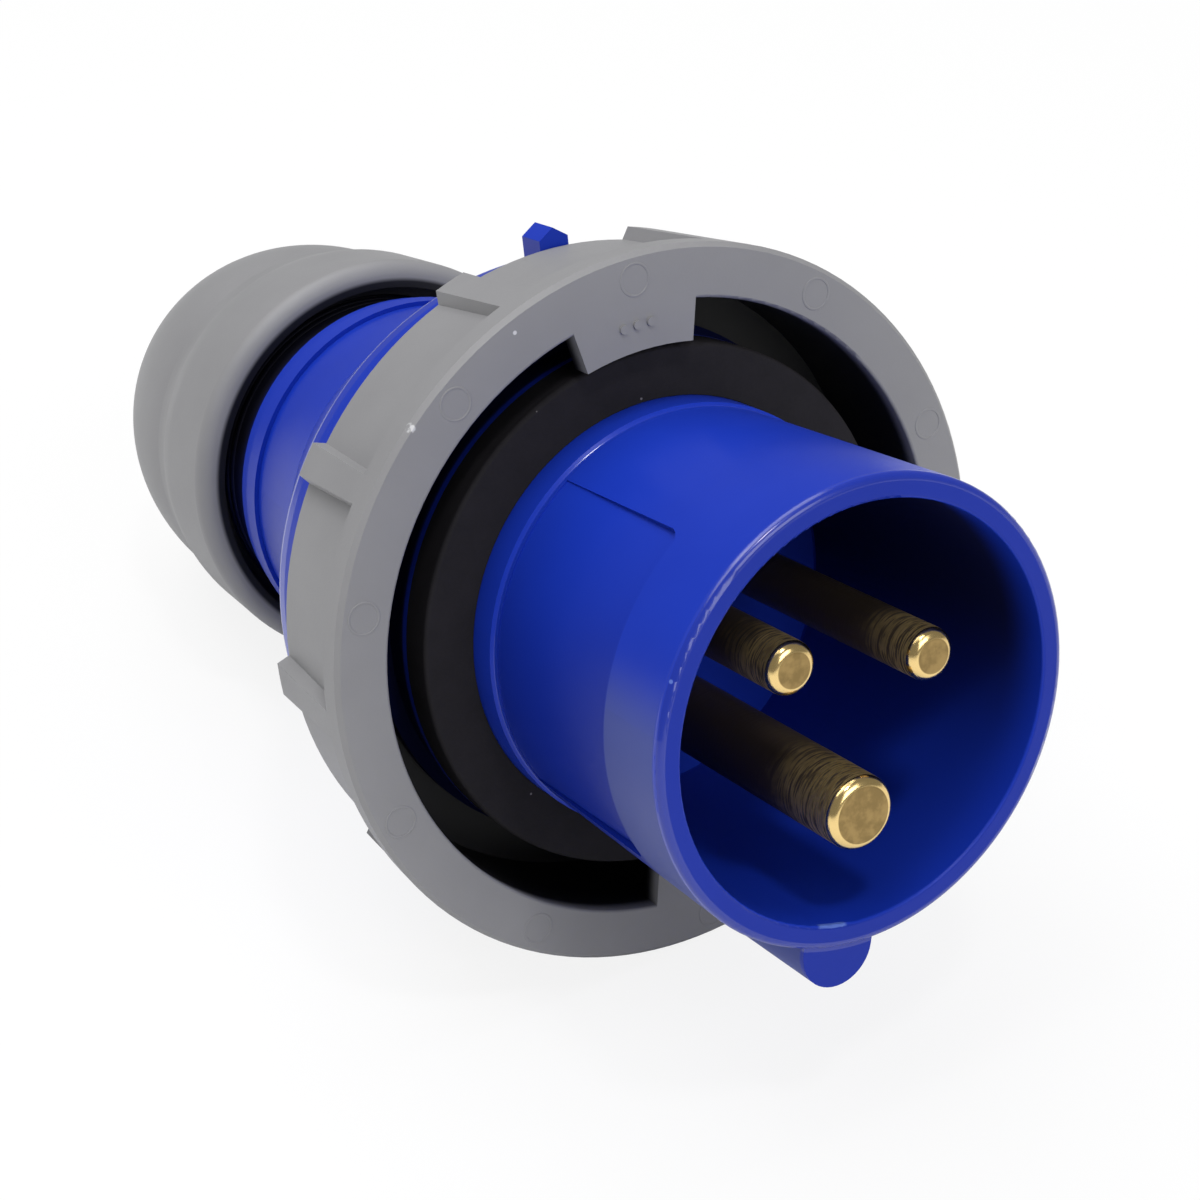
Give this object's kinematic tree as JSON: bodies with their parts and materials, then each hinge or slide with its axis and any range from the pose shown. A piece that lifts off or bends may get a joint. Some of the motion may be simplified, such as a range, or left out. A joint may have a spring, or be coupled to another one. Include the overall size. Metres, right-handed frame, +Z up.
{
  "type": "industrial plug",
  "caption": "Watertight industrial plug: blue shroud with pole pins and a thicker earth pin, grey bayonet ring, flared blue handle and grey cable gland nut.",
  "frame": {"origin": "middle of the plug's bounding box, on the floor that it lies on", "axes": "+Z up, -Y towards the pins with the nose a little up, +X to the right of someone who faces the pins"},
  "size_m": [0.0722, 0.1424, 0.0716],
  "materials": {
    "blue_plastic": "satin moulded polyamide",
    "grey_plastic": "satin moulded polyamide",
    "dark_plastic": "plain moulded",
    "pale_plastic": "plain moulded",
    "brass": "turned",
    "steel": "zinc plated",
    "black_rubber": "matt"
  },
  "bodies": {
    "plug_body": {"front_shroud": "blue_plastic", "pin_pole_left": "brass", "pin_pole_right": "brass", "pin_earth": "brass", "contact_retainer": "dark_plastic", "retainer_screw_left": "steel", "retainer_screw_right": "steel", "terminal_screw_pole_left": "steel", "terminal_screw_pole_right": "steel", "terminal_screw_earth": "steel", "face_gasket": "black_rubber", "housing_seal": "black_rubber", "rear_housing": "blue_plastic", "gland_cage": "dark_plastic", "gland_grommet": "black_rubber"},
    "coupling_ring": {"bayonet_ring": "grey_plastic"},
    "thrust_ring": {"gland_thrust_ring": "pale_plastic"},
    "cap_nut": {"gland_nut": "grey_plastic"}
  },
  "joints": [
    {"name": "ring_turn", "type": "hinge", "parent": "plug_body", "child": "coupling_ring", "pos_m": [0, -0.02113, 0.03339], "axis": [0, 0.9863, -0.1647], "range_deg": [-16, 29]},
    {"name": "gland_close", "type": "slide", "parent": "plug_body", "child": "thrust_ring", "axis": [0, 0.9863, -0.1647], "range_m": [-0.003, 0.003]},
    {"name": "nut_turn", "type": "hinge", "parent": "thrust_ring", "child": "cap_nut", "pos_m": [0, 0.02414, 0.02584], "axis": [0, 0.9863, -0.1647], "range_deg": [-720, 720]}
  ],
  "couplings": [
    {"joint": "gland_close", "follows": "nut_turn", "m_per_rad": 0.000238}
  ]
}
